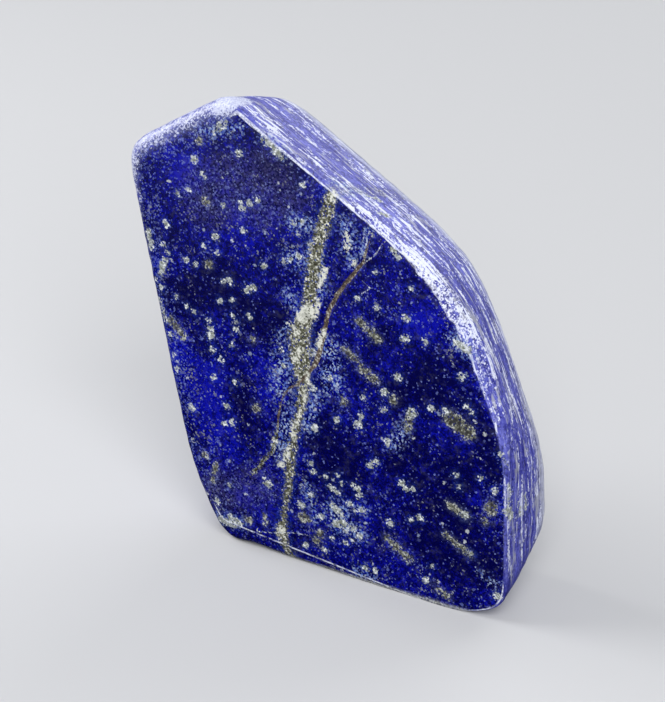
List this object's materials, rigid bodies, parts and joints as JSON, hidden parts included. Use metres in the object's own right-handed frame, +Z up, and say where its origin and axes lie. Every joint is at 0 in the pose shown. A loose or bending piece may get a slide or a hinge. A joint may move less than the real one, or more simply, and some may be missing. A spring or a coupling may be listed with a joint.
{
  "type": "lapis lazuli stone",
  "caption": "Standing freeform slab of blue lapis lazuli with a flat polished face, a ground rim and a sawn base that it rests on.",
  "frame": {"origin": "on the plane the stone rests on, under the middle of its bounding box", "axes": "+Z up, -Y the way the polished face looks, +X to the right of that face"},
  "size_m": [0.105, 0.0334, 0.1126],
  "materials": {
    "lapis": "polished lapis lazuli: deep ultramarine with white calcite specks, an olive-grey vein and a satin ground rim"
  },
  "bodies": {
    "root": {"lapis_stone": "lapis"}
  },
  "joints": []
}
